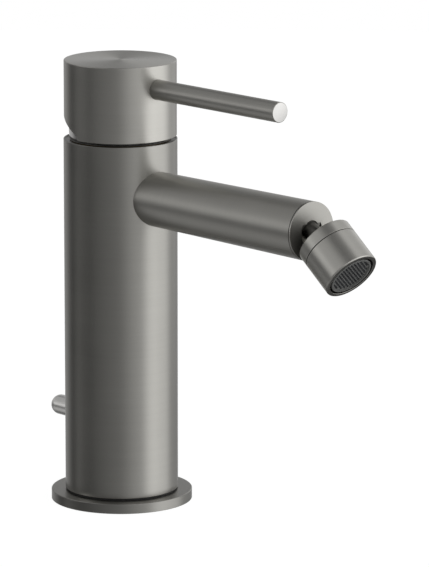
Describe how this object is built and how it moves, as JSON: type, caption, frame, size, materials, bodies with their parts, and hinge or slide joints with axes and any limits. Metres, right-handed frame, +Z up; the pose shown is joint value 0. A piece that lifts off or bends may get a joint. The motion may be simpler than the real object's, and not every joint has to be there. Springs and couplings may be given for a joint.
{
  "type": "bidet mixer",
  "caption": "Single-lever bidet mixer: round column, straight spout with ball-jointed nozzle, pin lever, pop-up knob.",
  "frame": {"origin": "centre of the body column where it stands on the deck", "axes": "+Z up from the deck; -Y along the spout and the lever; +Y along the pop-up knob"},
  "size_m": [0.0562, 0.1794, 0.1774],
  "materials": {
    "gunmetal": "brushed warm gunmetal",
    "polished_gunmetal": "smooth turned gunmetal",
    "brass": "machined",
    "steel": "machined stainless steel",
    "cartridge_plastic": "moulded white plastic",
    "dark_plastic": "moulded dark grey plastic",
    "ceramic": "lapped ceramic",
    "rubber": "black rubber"
  },
  "bodies": {
    "body": {"base_flange": "gunmetal", "deck_seal": "rubber", "body_gasket": "rubber", "base_block": "brass", "mixer_body": "gunmetal", "hot_pipe": "brass", "cold_pipe": "brass", "pipe_o_rings": "rubber", "cartridge_seat": "brass", "seat_o_ring": "rubber", "port_seals": "rubber", "cartridge_base": "dark_plastic", "cartridge_housing": "cartridge_plastic", "fixed_disc": "ceramic", "retaining_nut": "brass", "cover_dome": "polished_gunmetal", "spout_tube": "gunmetal", "spout_end_plug": "gunmetal", "spout_o_ring": "rubber", "ball_stem": "gunmetal", "popup_bush": "gunmetal", "popup_pivot_pin": "steel"},
    "turret": {"turret": "cartridge_plastic", "turret_o_ring": "rubber", "spindle_pin": "steel"},
    "handle": {"spindle": "steel", "handle_cap": "gunmetal", "lever_pin": "gunmetal", "handle_grub_screw": "steel"},
    "mixing_disc": {"moving_disc": "ceramic", "disc_carrier": "dark_plastic"},
    "swivel": {"slip_ring": "rubber"},
    "nozzle": {"nozzle_collar": "gunmetal", "ball_seal": "rubber", "nozzle_housing": "gunmetal", "aerator_washer": "rubber", "aerator_diffuser": "dark_plastic", "aerator_insert": "dark_plastic"},
    "popup_lever": {"popup_arm": "steel", "popup_knob": "gunmetal"},
    "popup_rod": {"popup_rod": "brass"}
  },
  "joints": [
    {"name": "handle_turn", "type": "hinge", "parent": "body", "child": "turret", "pos_m": [0, 0, 0.15], "axis": [0, 0, 1], "range_deg": [-50, 50]},
    {"name": "handle_lift", "type": "hinge", "parent": "turret", "child": "handle", "pos_m": [0, 0, 0.15], "axis": [-1, 0, 0], "range_deg": [0, 24]},
    {"name": "disc_slide", "type": "slide", "parent": "turret", "child": "mixing_disc", "axis": [0, -1, 0], "range_m": [0, 0.00707]},
    {"name": "nozzle_swivel", "type": "hinge", "parent": "body", "child": "swivel", "pos_m": [0, -0.11817, 0.12108], "axis": [0, -0.9272, -0.3746], "continuous": true},
    {"name": "nozzle_tilt", "type": "hinge", "parent": "swivel", "child": "nozzle", "pos_m": [0, -0.11817, 0.12108], "axis": [-1, 0, 0], "range_deg": [0, 32.4]},
    {"name": "popup_tilt", "type": "hinge", "parent": "body", "child": "popup_lever", "pos_m": [0, 0.018, 0.0315], "axis": [-1, 0, 0], "range_deg": [-15, 15]},
    {"name": "popup_rod_lift", "type": "slide", "parent": "body", "child": "popup_rod", "axis": [0, 0, 1], "range_m": [-0.00388, 0.00388]}
  ],
  "couplings": [
    {"joint": "disc_slide", "follows": "handle_lift", "m_per_rad": 0.016876},
    {"joint": "popup_tilt", "follows": "popup_rod_lift", "rad_per_m": 67.435}
  ]
}
